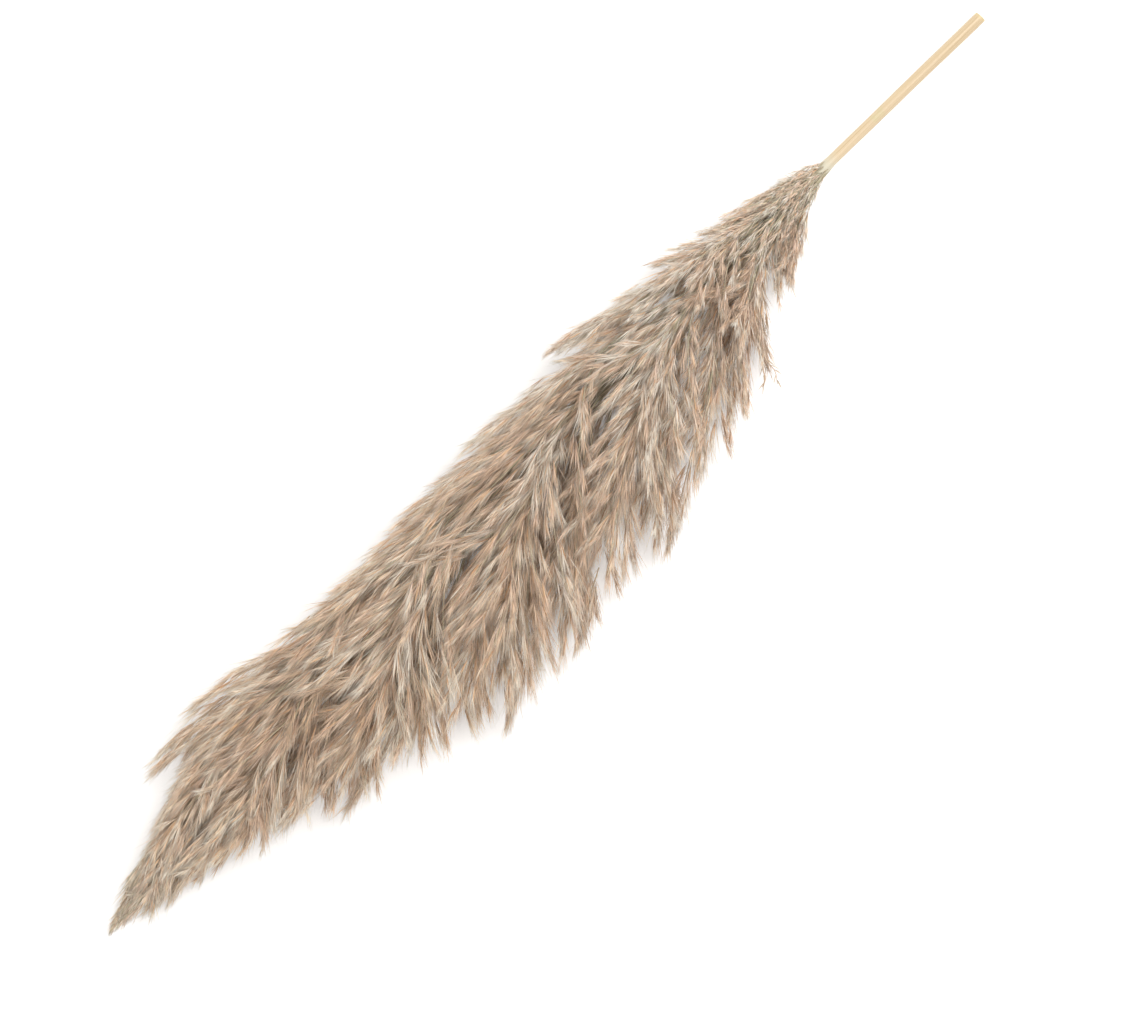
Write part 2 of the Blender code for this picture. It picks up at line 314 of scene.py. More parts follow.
corner_places = []
for face in cane.data.polygons:
    corners = [cane.data.vertices[i].co for i in face.vertices]
    on_end = abs(face.normal.x) > 0.8
    turns = []
    for corner in corners:
        distance = corner.x - reed_shift[0]
        out = corner - Vector(axis_points(distance)[0] + reed_shift)
        turns.append(math.atan2(out.z, out.y) / (2 * math.pi) % 1.0)
    if max(turns) - min(turns) > 0.5:
        turns = [turn + 1.0 if turn < 0.5 else turn for turn in turns]
    for corner, turn in zip(corners, turns):
        distance = corner.x - reed_shift[0]
        if on_end:
            out = corner - Vector(axis_points(distance)[0] + reed_shift)
            disc = far_disc if distance > axis_end / 2 else cut_disc
            corner_places.append((disc + out.y * disc_scale, disc_height + out.z * disc_scale))
        else:
            corner_places.append((strip_start + turn * strip_width,
                                  strip_start + distance / axis_end * strip_length))
give_map(cane.data, corner_places)

straw = Paint("straw")
on_cane = straw.node("ShaderNodeTexCoord", output=3)
cane_axes = straw.node("ShaderNodeSeparateXYZ", None, {0: on_cane})
cane_distance = cane_axes - float(reed_shift[0])
cane_map = straw.node("ShaderNodeUVMap", {"uv_map": "OFBake"})
fibre_places = straw.node("ShaderNodeMapping", None, {"Vector": cane_map, "Scale": (150.0, 9.0, 1.0)})
fibres = straw.noise(fibre_places, 1.0, 4.0, 0.6)
fine_places = straw.node("ShaderNodeMapping", None, {"Vector": cane_map, "Scale": (480.0, 16.0, 1.0)})
fine_fibres = straw.noise(fine_places, 1.0, 2.0)
blotches = straw.noise(on_cane, 130.0, 2.0)
straw_colour = straw.mix(fibres.between(0.30, 0.70), (0.45, 0.32, 0.17), (0.66, 0.52, 0.33))
straw_colour = straw.mix(fine_fibres.between(0.35, 0.65) * 0.35, straw_colour, (0.72, 0.61, 0.45))
straw_colour = straw.mix(blotches.between(0.58, 0.74) * 0.30, straw_colour, (0.46, 0.48, 0.24))
near_plume = cane_distance.between(0.066, 0.074)
straw_colour = straw.mix(near_plume * 0.8, straw_colour, (0.56, 0.54, 0.43))
# Inside the plume the axis is painted dark brown: painted shade under the hairs.
shaded_inside_plume = cane_distance.between(0.078, 0.10)
straw_colour = straw.mix(shaded_inside_plume, straw_colour, (0.24, 0.21, 0.14))
cut_face = 1 - cane_distance.between(0.0002, 0.0016)
straw_colour = straw.mix(cut_face * 0.8, straw_colour, (0.62, 0.50, 0.28))
cane_relief = straw.node("ShaderNodeBump", None, {"Strength": 0.35, "Distance": 0.0001,
                                                  "Height": fibres + fine_fibres * 0.5})
cane.data.materials.append(straw.finish(
    Base_Color=straw_colour, Roughness=0.34 + 0.22 * fibres, Normal=cane_relief, Coat_Weight=0.06))
new_piece(cane, "straw", "cane")


# The plume's branches
# Fifty-four feathery branches leave the axis all round and lean forward along it. Each is a twig that
# forks into side branchlets. Their lines follow the reed's own form, and droop to one side.

short_side = [(0.070, -0.009), (0.098, -0.014), (0.118, -0.020), (0.15, -0.0235), (0.30, -0.0255),
              (0.35, -0.026), (0.375, -0.0175), (0.40, -0.008), (0.42, -0.002)]
hanging_side = [(0.070, 0.003), (0.098, 0.009), (0.118, 0.020), (0.145, 0.033), (0.20, 0.041),
                (0.27, 0.043), (0.30, 0.035), (0.34, 0.022), (0.375, 0.010), (0.40, 0.005), (0.42, 0.001)]
crown = [(0.070, 0.016), (0.098, 0.023), (0.118, 0.031), (0.15, 0.041), (0.22, 0.046), (0.30, 0.044),
         (0.35, 0.037), (0.385, 0.026), (0.405, 0.015), (0.42, 0.008)]
underside = [(0.070, 0.0034), (0.10, 0.0026), (0.13, 0.0016), (0.35, 0.0016), (0.42, 0.0022)]
flattening = 0.45
branch_count = 54
lowest_root = 0.070
golden_angle = math.radians(137.508)
branch_run = [(0.070, 0.046), (0.105, 0.070), (0.15, 0.078), (0.362, 0.056)]
run_lost_on_hanging_side = 0.18
spread_power = 0.85
branch_points = 41
branchlet_points = 25
branchlet_forks = [0.24, 0.42]
branchlet_turns = [math.radians(turn) for turn in (-55, -40, -25, 25, 40, 55)]
branchlet_runs = [0.60, 0.75, 0.90]
branchlet_reaches = [0.70, 1.0]
branchlet_least_room = 0.0015
twig_radius = 0.00045
seat_gap = 0.0003


def outline_point(along, turn):
    """Points of the plume's outline, whose section is an ellipse that is flattened below."""
    left, right = profile(along, short_side), profile(along, hanging_side)
    low, high = profile(along, underside), profile(along, crown)
    height = math.sin(turn)
    if height < 0:
        height = -(-height)**flattening
    return np.stack([along, (left + right) / 2 + (right - left) / 2 * math.cos(turn),
                     (low + high) / 2 + (high - low) / 2 * height], 1)


def resampled(line, count):
    """The line again, with this many points an even distance apart."""
    length = np.concatenate([[0], np.cumsum(np.linalg.norm(np.diff(line, axis=0), axis=1))])
    at = np.linspace(0, length[-1], count)
    return np.stack([np.interp(at, length, line[:, i]) for i in range(3)], 1)


def fine(line):
    """The line with three more points between each two of its own."""
    at = np.linspace(0, len(line) - 1, 4 * len(line) - 3)
    return np.stack([np.interp(at, np.arange(len(line)), line[:, i]) for i in range(3)], 1)


def branch_line(k, rng):
    """The middle line of a branch, from its seat on the axis to the plume's outline."""
    turn = k * golden_angle
    root = lowest_root + (k + 0.5) / branch_count * (axis_end - lowest_root)
    run = profile(root, branch_run) * (1 - run_lost_on_hanging_side * math.cos(turn))
    run = min(run * rng.uniform(0.90, 1.10), reed_length - root)
    reach = rng.uniform(0.90, 1.06)
    q = np.linspace(0, 1, branch_points)
    along = root + run * q
    axis = axis_points(along)
    line = axis + (outline_point(along, turn) - axis) * (reach * q**spread_power)[:, None]
    out = np.linalg.norm(line - axis, axis=1) - profile(along, cane_radius) - seat_gap - twig_radius
    first = int(np.argmax(out > 0))
    part = out[first - 1] / (out[first - 1] - out[first])
    start = line[first - 1] + part * (line[first] - line[first - 1])
    return resampled(np.vstack([start, line[first:]]), branch_points)


def branchlet_line(line, fork, turn, run, reach):
    """A line that leaves a branch at a fork and bends away to its own place at the plume's outline."""
    start = fork * (len(line) - 1)
    root = np.array([np.interp(start, np.arange(len(line)), line[:, i]) for i in range(3)])
    along = np.array([root[0] + run * (line[-1, 0] - root[0])])
    axis = axis_points(along)[0]
    end = axis + (outline_point(along, turn)[0] - axis) * reach
    onward = line[int(start) + 2] - line[int(start)]
    bend = root + onward / np.linalg.norm(onward) * np.linalg.norm(end - root) / 3
    q = np.linspace(0, 1, branchlet_points)[:, None]
    return (1 - q)**2 * root + 2 * q * (1 - q) * bend + q**2 * end


def tree_of(points):
    """The points, sorted so that the nearest to any place is found fast."""
    tree = kdtree.KDTree(len(points))
    for i, point in enumerate(points):
        tree.insert(point, i)
    tree.balance()
    return tree


def add_branchlet(k, fork, lines, grown):
    """Grows a side branchlet on a branch where the lines so far leave most room, if they leave enough."""
    others = tree_of(np.vstack([fine(other) for j, own in enumerate(grown)
                                for other in (lines[j], *own) if j != k]))
    own = tree_of(np.vstack([lines[k], *grown[k]]))
    best, best_room = None, branchlet_least_room
    for turn in branchlet_turns:
        for run in branchlet_runs:
            for reach in branchlet_reaches:
                found = branchlet_line(lines[k], fork, k * golden_angle + turn, run, reach)
                outer = found[branchlet_points // 2:]
                room = min(min(others.find(point)[2], own.find(point)[2]) for point in outer) / 2
                if room > best_room:
                    best, best_room = found, room
    if best is not None:
        grown[k].append(best)


rng = np.random.default_rng(11)
lines = [branch_line(k, rng) for k in range(branch_count)]
grown = [[] for _ in lines]
for fork in branchlet_forks:
    for k in range(branch_count):
        add_branchlet(k, fork, lines, grown)


# The fine branchlets fill the plume between those. Each takes the emptiest of a few places beside its
# branch, and rather one that doesn't point back over the axis.
fine_branchlets = 7
fine_points = 13
fine_choices = 12
fine_fork_start, fine_fork_step, fine_fork_spread = 0.03, 0.08, 0.06
fine_turns = (0.05, 0.70)
fine_runs = (0.55, 0.97)
fine_reach_start, fine_reach_gain, fine_reach_most = 0.30, 0.85, 0.98
turned_back_cost = 0.010


def fine_branchlet(k, i, taken):
    """One of a branch's fine branchlets, which leave it in turn to either side."""
    best, best_room = None, -math.inf
    for _ in range(fine_choices):
        fork = fine_fork_start + fine_fork_step * i + rng.uniform(0.0, fine_fork_spread)
        turn = k * golden_angle + (-1)**i * rng.uniform(*fine_turns)
        reach = rng.uniform(fine_reach_start + fine_reach_gain * fork, fine_reach_most)
        found = branchlet_line(lines[k], fork, turn, rng.uniform(*fine_runs), reach)
        found = resampled(found, fine_points)
        outer = found[fine_points // 3:]
        onward = (outer[-1] - outer[0]) / np.linalg.norm(outer[-1] - outer[0])
        off = outer[-1, 1] - axis_points(outer[-1, 0])[0, 1]
        turned_back = max(0.0, -onward[1] * np.sign(off))
        room = np.sqrt(((outer[:, None] - taken)**2).sum(2).min(1)).mean()
        room -= turned_back_cost * turned_back
        if room > best_room:
            best, best_room = found, room
    return best


taken = np.vstack([other for j, own in enumerate(grown) for other in (lines[j], *own)])
fine_grown = [[] for _ in lines]
for i in range(fine_branchlets):
    for k in range(branch_count):
        fine_grown[k].append(fine_branchlet(k, i, taken))
        taken = np.vstack([taken, fine_grown[k][-1]])


# The spikelets and their silky hairs
# Each branchlet carries slim dry spikelets on hair-fine stalks. A spikelet is a few narrow pointed husks,
# and from it spread long silky hairs, which lie forward together and make the plume's soft coat.

husk_length, husk_width = 0.0085, 0.00058
hair_length, hair_width = 0.0125, 0.00020
husks_each = 2
hairs_each = 18
spikelets_each_branch = 110
stalk_length, stalk_width = 0.003, 0.00020
husk_step = 0.0016
husk_flatness = 0.55
husk_bend, hair_bend = 0.03, 0.06
loose_hairs, loose_hair_lean = 0.15, 1.6
map_width = 0.0012
size_along = [(0.070, 0.50), (0.100, 0.62), (0.130, 0.82), (0.170, 1.0), (0.370, 1.0), (0.420, 0.75)]
lock_reach = [(0.0, 0.0014), (0.15, 0.0034), (0.5, 0.0051), (0.75, 0.0041), (0.90, 0.0023), (1.0, 0.0006)]


def cone_master(name, rings):
    """A slim closed form along +Z, one unit long and pointed at both ends: a three-sided cone whose base
    is drawn back to a point, cut across and shaped ring by ring. The rings are (height, reach) pairs."""
    select_nothing()
    first = rings[0][0]
    bpy.ops.mesh.primitive_cone_add(vertices=3, radius1=1.0, radius2=0.0, depth=1.0 - first,
                                    end_fill_type="TRIFAN", location=(0.0, 0.0, (1.0 + first) / 2))
    bpy.ops.object.transform_apply()
    master = bpy.context.object
    master.name = name
    for height, _ in rings[1:]:
        bpy.ops.object.mode_set(mode="EDIT")
        bpy.ops.mesh.select_all(action="SELECT")
        bpy.ops.mesh.bisect(plane_co=(0.0, 0.0, height), plane_no=(0.0, 0.0, 1.0))
        bpy.ops.object.mode_set(mode="OBJECT")
    for vertex in master.data.vertices:
        across = math.hypot(vertex.co.x, vertex.co.y)
        for height, reach in rings:
            if abs(vertex.co.z - height) < 0.001 and across > 0.001:
                vertex.co.x *= reach / across
                vertex.co.y *= reach / across
        if vertex.co.z < first + 0.001 and across < 0.001:
            vertex.co.z = 0.0
    bpy.ops.object.mode_set(mode="EDIT")
    bpy.ops.mesh.select_all(action="SELECT")
    bpy.ops.mesh.quads_convert_to_tris()
    bpy.ops.mesh.normals_make_consistent(inside=False)
    bpy.ops.object.mode_set(mode="OBJECT")
    points = np.array([v.co for v in master.data.vertices])
    faces = np.array([face.vertices for face in master.data.polygons])
    bpy.data.objects.remove(master)
    turn = np.arctan2(points[:, 1], points[:, 0])
    sideways = np.where(np.hypot(points[:, 0], points[:, 1]) > 0.001, np.round(turn / 2), 0.0)
    return points, faces, sideways


husk_form = cone_master("husk", [(0.30, 0.50), (0.66, 0.36)])
hair_form = cone_master("hair", [(0.42, 0.50)])


def unit(vectors):
    return vectors / np.linalg.norm(vectors, axis=-1)[..., None]


lowest_hair = 0.0001
pressed_depth, pressed_left = 0.004, 0.02


class Tuft:
    """Gathers the copies of a form, and the twigs, that make up one piece."""

    def __init__(self):
        self.points, self.faces, self.places, self.count = [], [], [], 0

    def add(self, form, roots, ahead, length, width, bend, tint, flat=1.0):
        """Adds a copy of the form at each root, with its own direction, size, bend and tint."""
        points, faces, sideways = form
        side = unit(np.cross(ahead, rng.normal(size=ahead.shape)))
        up = np.cross(ahead, side)
        x, y, z = points.T
        made = (roots[:, None] + side[:, None] * (x[None, :, None] * width[:, None, None])
                + up[:, None] * (y[None, :, None] * width[:, None, None] * flat)
                + ahead[:, None] * (z[None, :, None] * length[:, None, None])
                + bend[:, None] * (z**2)[None, :, None] * length[:, None, None])
        each = np.arange(len(roots))[:, None, None] * len(points)
        self.faces.append((faces[None] + each + self.count).reshape(-1, 3))
        places = np.stack([tint[:, None] + sideways[None] * map_width,
                           np.broadcast_to(0.01 + 0.98 * z, (len(roots), len(z)))], 2)
        self.places.append(places[:, faces].reshape(-1, 2))
        self.points.append(made.reshape(-1, 3))
        self.count += len(roots) * len(points)

    def tube(self, line, radii, tint, sides):
        """Adds a closed tapering tube along a line, for a twig."""
        ahead = unit(np.gradient(line, axis=0))
        side = unit(np.cross(ahead, (0.05, 0.1, 1.0)))
        up = np.cross(ahead, side)
        turns = np.arange(sides) / sides * 2 * math.pi
        rings = (line[:, None] + radii[:, None, None] * (side[:, None] * np.cos(turns)[None, :, None]
                                                         + up[:, None] * np.sin(turns)[None, :, None]))
        count = len(line)
        share = np.repeat(np.linspace(0.02, 0.98, count), sides)
        around = np.tile(np.arange(sides), count)
        points = np.vstack([rings.reshape(-1, 3), line[0], line[-1]])
        share = np.concatenate([share, [0.0, 1.0]])
        around = np.concatenate([around, [0.5, 0.5]])
        ring = np.arange(sides)
        after = (ring + 1) % sides
        faces = []
        for i in range(count - 1):
            one, two = i * sides, (i + 1) * sides
            faces.append(np.stack([one + ring, one + after, two + ring], 1))
            faces.append(np.stack([one + after, two + after, two + ring], 1))
        last = (count - 1) * sides
        faces.append(np.stack([np.full(sides, count * sides), after, ring], 1))
        faces.append(np.stack([np.full(sides, count * sides + 1), last + ring, last + after], 1))
        faces = np.vstack(faces)
        places = np.stack([tint + around * map_width, share], 1)
        self.faces.append(faces + self.count)
        self.places.append(places[faces].reshape(-1, 2))
        self.points.append(points)
        self.count += len(points)

    def made(self, name):
        """The piece as an object in its place, flattened where it presses on the table."""
        points = np.vstack(self.points) + reed_shift
        pressed = np.clip(points[:, 2] + pressed_depth, 0, pressed_depth)
        points[:, 2] = np.maximum(points[:, 2], lowest_hair + pressed_left * pressed)
        faces = np.vstack(self.faces)
        mesh = bpy.data.meshes.new(name)
        mesh.vertices.add(len(points))
        mesh.vertices.foreach_set("co", points.astype(np.float32).ravel())
        mesh.loops.add(faces.size)
        mesh.loops.foreach_set("vertex_index", faces.ravel())
        mesh.polygons.add(len(faces))
        mesh.polygons.foreach_set("loop_start", np.arange(0, faces.size, 3))
        mesh.polygons.foreach_set("loop_total", np.full(len(faces), 3))
        mesh.update(calc_edges=True)
        give_map(mesh, np.clip(np.vstack(self.places), 0.001, 0.999))
        mesh.validate()
        mesh.materials.append(plume_material)
        piece = bpy.data.objects.new(name, mesh)
        bpy.context.scene.collection.objects.link(piece)
        return piece


# Where each kind lies across the plume's map
green_twig, brown_twig = (0.02, 0.08), (0.10, 0.16)
dark_hair, bronze_husk, tan_husk = (0.18, 0.30), (0.32, 0.44), (0.46, 0.56)
pale_hair = (0.58, 0.98)
stalk_kinds, stalk_shares = [green_twig, brown_twig], [0.3, 0.7]
husk_kinds, husk_shares = [dark_hair, bronze_husk, tan_husk, pale_hair], [0.22, 0.40, 0.26, 0.12]


# Places where the plume is darker than elsewhere: their distance along and across, size and strength
dark_places = [(0.123, 0.0135, 0.0075, 0.45), (0.179, -0.0100, 0.0060, 0.35), (0.316, -0.0042, 0.0095, 0.50),
               (0.122, -0.0040, 0.0100, 0.20), (0.221, 0.0060, 0.0050, 0.35), (0.238, 0.0175, 0.0050, 0.30),
               (0.343, -0.0060, 0.0060, 0.30), (0.150, 0.0120, 0.0060, 0.25)]
dark_share = 0.22
green_round_axis = 0.010
green_husks, green_hairs = 0.6, 0.7

# How far a spikelet's lightness strays from its lock's, and a hair's from its spikelet's
spikelet_spread, hair_spread = 0.22, 0.14
# The short side is painted lighter, as a painted highlight where the light falls on it.
hanging_lightness, short_side_painted_highlight, tip_lightness = 0.02, 0.14, 0.15
droop_all = np.array([0.02, 0.03, -0.02])
droop_hanging = np.array([-0.02, 0.10, -0.05])


def tint_between(kinds, share, count):
    """A tint for each copy, from a kind that is drawn by its share."""
    chosen = rng.choice(len(kinds), size=count, p=np.array(share) / np.sum(share))
    low, high = np.array(kinds)[chosen].T
    return rng.uniform(low, high)


class Lock:
    """A branchlet's line as the spikelets need it: its points and the directions beside it."""

    def __init__(self, line):
        self.line = line
        self.share = np.linspace(0, 1, len(line))
        self.length = np.linalg.norm(np.diff(line, axis=0), axis=1).sum()
        self.ahead = unit(np.gradient(line, axis=0))
        self.side = unit(np.cross(self.ahead, (0.0, 0.3, 1.0)))
        self.up = np.cross(self.ahead, self.side)

    def read(self, table, share):
        return np.stack([np.interp(share, self.share, table[:, i]) for i in range(3)], 1)

    def at(self, share):
        past = np.maximum(share - 1.0, 0.0)[:, None] * self.length
        return self.read(self.line, share) + past * self.ahead[-1]

    def outward(self, share, turn):
        return (self.read(self.side, share) * np.cos(turn)[:, None]
                + self.read(self.up, share) * np.sin(turn)[:, None])


def aside(ahead, lean):
    """The directions, each turned a little to a side of its own."""
    return unit(ahead + unit(np.cross(ahead, rng.normal(size=ahead.shape))) * lean[:, None])


def shade_at(points):
    """How much darker than elsewhere the spikelets at these points are."""
    shade = np.zeros(len(points))
    for along, across, size, strength in dark_places:
        off = ((points[:, 0] - along)**2 + (points[:, 1] - across)**2) / size**2
        shade += strength * np.exp(-off)
    return shade


def hair_tint(light):
    """The tint of hairs of this lightness: pale, or dark, partly for weathered hairs and partly as painted
    shade among the locks.
    """
    pale = pale_hair[0] + (pale_hair[1] - pale_hair[0]) * (light - dark_share) / (1 - dark_share)
    dark = dark_hair[0] + (dark_hair[1] - dark_hair[0]) * light / dark_share
    return np.where(light > dark_share, pale, dark)


def rise(value, start, run):
    """0 before the start, 1 a run further on, and even between them."""
    return np.clip((value - start) / run, 0.0, 1.0)


def dress(tuft, lock, count, mood, first=0.10, wide=1.0):
    """Puts spikelets along a lock, closer together towards its end: their stalks, husks and hairs.
    The mood is how light the lock is, and wide widens or narrows it."""
    last = 0.95
    share = first + (last - first) * ((np.arange(count) + rng.uniform(0, 1, count)) / count)**0.85
    turn = np.arange(count) * golden_angle + rng.uniform(-0.5, 0.5, count)
    roots = lock.at(share) + lock.outward(share, turn) * (
        wide * profile(share, lock_reach) * rng.uniform(0.10, 0.70, count))[:, None]
    end = np.minimum(share + hair_length * rng.uniform(0.8, 1.2, count) / lock.length,
                     1.0 + 0.05 * rng.uniform(0, 1, count))
    end_reach = wide * profile(np.minimum(end, 1.0), lock_reach) * rng.uniform(0.3, 1.15, count)
    toward = lock.at(end) + lock.outward(np.minimum(end, 1.0), turn) * end_reach[:, None] - roots
    ahead = unit(toward)
    size = profile(roots[:, 0], size_along)
    room = np.clip(np.linalg.norm(toward, axis=1) / hair_length, 0.6, 1.0) * size
    stalk_start = lock.at(np.maximum(share - stalk_length / lock.length, 0.0))
    stalk = roots - stalk_start
    tuft.add(hair_form, stalk_start, unit(stalk), np.linalg.norm(stalk, axis=1) * 1.05,
             np.full(count, stalk_width), np.zeros((count, 3)),
             tint_between(stalk_kinds, stalk_shares, count))
    off_axis = np.linalg.norm(roots - axis_points(roots[:, 0]), axis=1)
    green = green_husks * np.clip(1.0 - off_axis / green_round_axis, 0.0, 1.0)
    for i in range(husks_each):
        tint = tint_between(husk_kinds, husk_shares, count)
        tint = np.where(rng.uniform(size=count) < green, rng.uniform(*green_twig, count), tint)
        tuft.add(husk_form, roots + ahead * (i * husk_step * rng.uniform(0.6, 1.2, count))[:, None],
                 aside(ahead, rng.uniform(0.02, 0.12, count)),
                 husk_length * room * rng.uniform(0.75, 1.15, count),
                 husk_width * rng.uniform(0.75, 1.15, count), rng.normal(size=(count, 3)) * husk_bend,
                 tint, flat=husk_flatness)
    hanging = rise(roots[:, 1], 0.002, 0.030) * rise(roots[:, 0], 0.37, -0.09)
    short = rise(roots[:, 1], -0.010, -0.012)
    tip = rise(roots[:, 0], 0.36, 0.03)
    # On the short side the tone is raised as a painted highlight.
    tone = (rng.normal(mood, spikelet_spread, count) - shade_at(roots)
            + hanging_lightness * hanging + short_side_painted_highlight * short + tip_lightness * tip)
    droop = droop_all + hanging[:, None] * droop_hanging
    for i in range(hairs_each):
        tint = hair_tint(np.clip(tone + rng.normal(0, hair_spread, count), 0.0, 1.0))
        tint = np.where(rng.uniform(size=count) < green * green_hairs, rng.uniform(*green_twig, count), tint)
        lean = np.where(rng.uniform(size=count) < loose_hairs, loose_hair_lean, 1.0) / size**0.7
        tuft.add(hair_form, roots + ahead * rng.uniform(-0.0015, 0.0040, count)[:, None],
                 aside(ahead, rng.uniform(0.02, 0.26, count) * lean),
                 hair_length * room * rng.uniform(0.60, 1.15, count),
                 hair_width * rng.uniform(0.7, 1.2, count) / size**0.4,
                 rng.normal(size=(count, 3)) * hair_bend + droop, tint)


plume = Paint("plume")
plume_places = plume.node("ShaderNodeUVMap", {"uv_map": "OFBake"})
tint_across = plume.node("ShaderNodeSeparateXYZ", None, {0: plume_places})
root_to_tip = plume.node("ShaderNodeSeparateXYZ", None, {0: plume_places}, output=1)
# Each strand is painted darker and browner at its root than at its tip: painted shade deep in the lock.
at_shaded_roots = plume.node("ShaderNodeValToRGB", {"stops": [
    (0.05, (0.40, 0.37, 0.25)), (0.13, (0.45, 0.34, 0.23)), (0.24, (0.36, 0.26, 0.18)),
    (0.38, (0.36, 0.21, 0.12)), (0.51, (0.64, 0.43, 0.26)), (0.61, (0.74, 0.53, 0.38)),
    (0.70, (0.77, 0.58, 0.48)), (0.80, (0.91, 0.69, 0.50)), (0.89, (0.89, 0.79, 0.71)),
    (0.96, (0.95, 0.80, 0.66))]}, {0: tint_across})
at_tips = plume.node("ShaderNodeValToRGB", {"stops": [
    (0.05, (0.57, 0.53, 0.37)), (0.13, (0.66, 0.51, 0.35)), (0.24, (0.60, 0.45, 0.34)),
    (0.38, (0.60, 0.33, 0.16)), (0.51, (0.88, 0.60, 0.36)), (0.61, (0.95, 0.71, 0.51)),
    (0.70, (0.96, 0.75, 0.62)), (0.80, (0.99, 0.80, 0.58)), (0.89, (0.98, 0.89, 0.79)),
    (0.96, (0.99, 0.93, 0.82))]}, {0: tint_across})
plume_colour = plume.mix(root_to_tip.between(0.0, 0.50), at_shaded_roots, at_tips)
on_plume = plume.node("ShaderNodeSeparateXYZ", None, {0: plume.node("ShaderNodeTexCoord", output=3)})
toward_tip = (on_plume - float(reed_shift[0])).between(0.10, 0.36)
plume_colour = plume.mix(toward_tip, plume_colour, (1.0, 0.975, 0.93), "MULTIPLY")
strand_places = plume.node("ShaderNodeMapping", None, {"Vector": plume_places, "Scale": (260.0, 2.5, 1.0)})
strand_shade = plume.noise(strand_places, 1.0, 2.0)
plume_colour = plume.mix(strand_shade.between(0.35, 0.65) * 0.18, plume_colour, (0.50, 0.42, 0.34),
                         "MULTIPLY")
plume_material = plume.finish(Base_Color=plume_colour, Roughness=0.40 + 0.25 * strand_shade,
                              Specular_IOR_Level=0.4, Sheen_Weight=0.3, Sheen_Roughness=0.4)

# The rings, sides and relative thickness of a branch, of its branchlets and of its fine branchlets
branch_twig, branchlet_twig, fine_twig = (16, 5, 1.0), (9, 4, 0.7), (6, 3, 0.45)
feather_moods = (0.42, 0.86)

for k, line in enumerate(lines):
    tuft = Tuft()
    locks = [Lock(found) for found in (line, *grown[k], *fine_grown[k])]
    kinds = [branch_twig] + [branchlet_twig] * len(grown[k]) + [fine_twig] * len(fine_grown[k])
    whole = sum(lock.length for lock in locks)
    for lock, (rings, sides, thickness) in zip(locks, kinds):
        taper = np.interp(np.linspace(0, 1, rings), [0, 0.3, 1], [1.0, 0.55, 0.18])
        tuft.tube(resampled(lock.line, rings), twig_radius * thickness * taper, rng.uniform(*green_twig),
                  sides)
        count = round(spikelets_each_branch * lock.length / whole)
        dress(tuft, lock, count, rng.uniform(*feather_moods))
    new_piece(tuft.made(f"feather_{k + 1:02d}"), "plume", f"branch_{k + 1:02d}")


# The short tufts on the axis
# Inside the plume the axis is hidden in short grey-green tufts. They sit on it all the way to the tip,
# and on short twigs that leave it all round between the branches.

axis_tuft_start, axis_tuft_end = 0.084, 0.404
axis_spikelets = 70
# The axis tufts and the short twigs inside the plume get darker moods than the branches: painted shade deep
# in the plume.
axis_shaded_mood = 0.42
axis_reach = 1.25
short_twig_count = 28
short_twigs = [(0.088 + 0.25 * ((i + 0.5) / short_twig_count)**1.3, (i + 0.5) * golden_angle)
               for i in range(short_twig_count)]
short_twigs += [(0.112, math.radians(50)), (0.117, math.radians(75)), (0.121, math.radians(30)),
                (0.124, math.radians(60))]
short_twig_runs = (0.016, 0.030)
short_twig_spreads = (0.25, 0.55)
short_twig_shaded_moods = (0.36, 0.60)
short_twig_spikelets = 6
edge_twigs = [(0.083, math.radians(172)), (0.086, math.radians(188)), (0.089, math.radians(165)),
              (0.092, math.radians(180)), (0.078, math.radians(-20)), (0.084, math.radians(5)),
              (0.089, math.radians(-12)), (0.094, math.radians(12))]
edge_twig_runs = (0.020, 0.027)
edge_twig_spreads = (0.72, 0.88)
edge_twig_moods = (0.50, 0.80)
edge_twig_spikelets = 10


def outward_twig(root, turn, run, most, power, start=0.0):
    """The line of a short twig, which leaves the axis, or starts this far off it, and goes the given
    share of the way to the plume's outline."""
    share = np.linspace(0, 1, 9)
    along = root + run * share
    middle = axis_points(along)
    away = np.array([0.0, math.cos(turn), math.sin(turn)]) * start
    spread = (most * share**power)[:, None]
    return middle + away * (1 - spread) + (outline_point(along, turn) - middle) * spread


def thinning(radius, end, count):
    """The radii of a twig that thins evenly to this share of its radius."""
    return radius * np.linspace(1.0, end, count)


axis_tufts = Tuft()
axis_along = np.linspace(axis_tuft_start, axis_tuft_end, 60)
dress(axis_tufts, Lock(axis_points(axis_along)), axis_spikelets, axis_shaded_mood, 0.0, axis_reach)
for root, turn in short_twigs:
    twig_line = outward_twig(root, turn, rng.uniform(*short_twig_runs), rng.uniform(*short_twig_spreads), 0.7)
    axis_tufts.tube(twig_line, thinning(twig_radius * 0.5, 0.3, 9), rng.uniform(*green_twig), 3)
    dress(axis_tufts, Lock(twig_line), short_twig_spikelets, rng.uniform(*short_twig_shaded_moods), 0.10, 1.1)
for root, turn in edge_twigs:
    twig_line = outward_twig(root, turn, rng.uniform(*edge_twig_runs), rng.uniform(*edge_twig_spreads), 0.8)
    axis_tufts.tube(twig_line, thinning(twig_radius * 0.5, 0.3, 9), rng.uniform(*green_twig), 3)
    dress(axis_tufts, Lock(twig_line), edge_twig_spikelets, rng.uniform(*edge_twig_moods), 0.10, 0.9)
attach(axis_tufts.made("axis_tufts"), "root")


# The whorl at the plume's base
# Short grey-green twigs stand close round the cane where the plume begins, lean forward along it and
# carry the first thin tufts, so that the cane passes into the plume without a step.

whorl_twigs = 44
whorl_spikelets = 9
whorl_start, whorl_length = 0.0715, 0.016
whorl_runs = (0.012, 0.030)
whorl_spreads = (0.35, 1.0)
whorl_moods = (0.55, 0.90)
whorl_held_back = 0.40
cane_skin = 0.0017
whorl_radius = 0.00028

